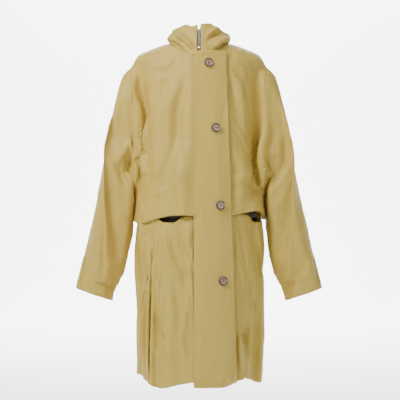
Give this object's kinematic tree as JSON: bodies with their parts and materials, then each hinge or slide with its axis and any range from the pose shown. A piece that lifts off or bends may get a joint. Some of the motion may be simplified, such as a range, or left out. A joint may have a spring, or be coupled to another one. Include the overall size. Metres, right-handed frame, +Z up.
{
  "type": "raincoat",
  "caption": "Knee-length raincoat with a stand collar, front zip under a buttoned placket, batwing sleeves and a loose bodice hem over a gathered skirt.",
  "frame": {"origin": "centre of the neck opening, level with the lower end of the collar front", "axes": "+Z up, -Y out of the front of the coat, +X towards the wearer's left"},
  "size_m": [0.692, 0.3499, 0.992],
  "materials": {
    "raincoat_cloth": "matt mustard microfibre with a faint two-tone shimmer",
    "lining_cloth": "smooth dark brown lining",
    "padding": "felted pad",
    "zip_tape": "woven tape",
    "zip_metal": "polished",
    "tortoiseshell": "mottled tortoiseshell",
    "thread": "sewing thread"
  },
  "bodies": {
    "coat": {"bodice_back": "raincoat_cloth", "bodice_front_right": "raincoat_cloth", "bodice_front_left": "raincoat_cloth", "skirt_back": "raincoat_cloth", "skirt_front_right": "raincoat_cloth", "skirt_front_left": "raincoat_cloth", "collar_outer": "raincoat_cloth", "front_placket": "raincoat_cloth", "bodice_hem_facing": "raincoat_cloth", "skirt_hem_facing": "raincoat_cloth", "waist_band": "raincoat_cloth", "pocket_welt_right": "raincoat_cloth", "pocket_welt_left": "raincoat_cloth", "lining_back": "lining_cloth", "lining_front_right": "lining_cloth", "lining_front_left": "lining_cloth", "skirt_lining_back": "lining_cloth", "skirt_lining_front_right": "lining_cloth", "skirt_lining_front_left": "lining_cloth", "pocket_bag_right": "lining_cloth", "pocket_bag_left": "lining_cloth", "collar_facing": "raincoat_cloth", "shoulder_pad_right": "padding", "shoulder_pad_left": "padding", "zip_tape_right": "zip_tape", "zip_tape_left": "zip_tape", "zip_teeth_right": "zip_metal", "zip_teeth_left": "zip_metal", "zip_top_stop_right": "zip_metal", "zip_top_stop_left": "zip_metal", "zip_retaining_box": "zip_metal", "backing_buttons": "tortoiseshell", "button_thread_shanks": "thread"},
    "right_sleeve": {"sleeve_front_right": "raincoat_cloth", "sleeve_back_right": "raincoat_cloth", "sleeve_lining_right": "lining_cloth", "cuff_facing_right": "raincoat_cloth", "sleeve_vent_right": "raincoat_cloth"},
    "left_sleeve": {"sleeve_front_left": "raincoat_cloth", "sleeve_back_left": "raincoat_cloth", "sleeve_lining_left": "lining_cloth", "cuff_facing_left": "raincoat_cloth", "sleeve_vent_left": "raincoat_cloth"},
    "slider": {"zip_slider": "zip_metal"},
    "pull": {"zip_pull": "zip_metal"},
    "hanger_loop": {"hanger_loop": "lining_cloth"},
    "button_1": {"button_1": "tortoiseshell"},
    "button_2": {"button_2": "tortoiseshell"},
    "button_3": {"button_3": "tortoiseshell"},
    "button_4": {"button_4": "tortoiseshell"}
  },
  "joints": [
    {"name": "hanger_loop_flip", "type": "hinge", "parent": "coat", "child": "hanger_loop", "pos_m": [0, 0.0454, 0.0234], "axis": [-1, 0, 0], "range_deg": [0, 90]},
    {"name": "left_sleeve_raise", "type": "hinge", "parent": "coat", "child": "left_sleeve", "pos_m": [0.2, 0.005, -0.018], "axis": [0, -1, 0], "range_deg": [0, 65]},
    {"name": "right_sleeve_raise", "type": "hinge", "parent": "coat", "child": "right_sleeve", "pos_m": [-0.2, 0.005, -0.018], "axis": [0, 1, 0], "range_deg": [0, 65]},
    {"name": "pull_swing", "type": "hinge", "parent": "slider", "child": "pull", "pos_m": [0, -0.06708, 0.05681], "axis": [1, 0, 0], "range_deg": [-150, 0]},
    {"name": "slider_travel", "type": "slide", "parent": "coat", "child": "slider", "axis": [0, -0.1142, -0.9935], "range_m": [0, 0.89]},
    {"name": "tilt_button_1", "type": "hinge", "parent": "coat", "child": "button_1", "pos_m": [0.02734, -0.08815, -0.03003], "axis": [0.9967, 0.0815, 0], "range_deg": [-8, 8], "stiffness_Nm_per_rad": 0.0005},
    {"name": "tilt_button_2", "type": "hinge", "parent": "coat", "child": "button_2", "pos_m": [0.04667, -0.10614, -0.20954], "axis": [0.9865, 0.1637, 0], "range_deg": [-8, 8], "stiffness_Nm_per_rad": 0.0005},
    {"name": "tilt_button_3", "type": "hinge", "parent": "coat", "child": "button_3", "pos_m": [0.05887, -0.12812, -0.42154], "axis": [0.9773, 0.2119, 0], "range_deg": [-8, 8], "stiffness_Nm_per_rad": 0.0005},
    {"name": "tilt_button_4", "type": "hinge", "parent": "coat", "child": "button_4", "pos_m": [0.06602, -0.14965, -0.62555], "axis": [0.969, 0.247, 0], "range_deg": [-8, 8], "stiffness_Nm_per_rad": 0.0005}
  ]
}
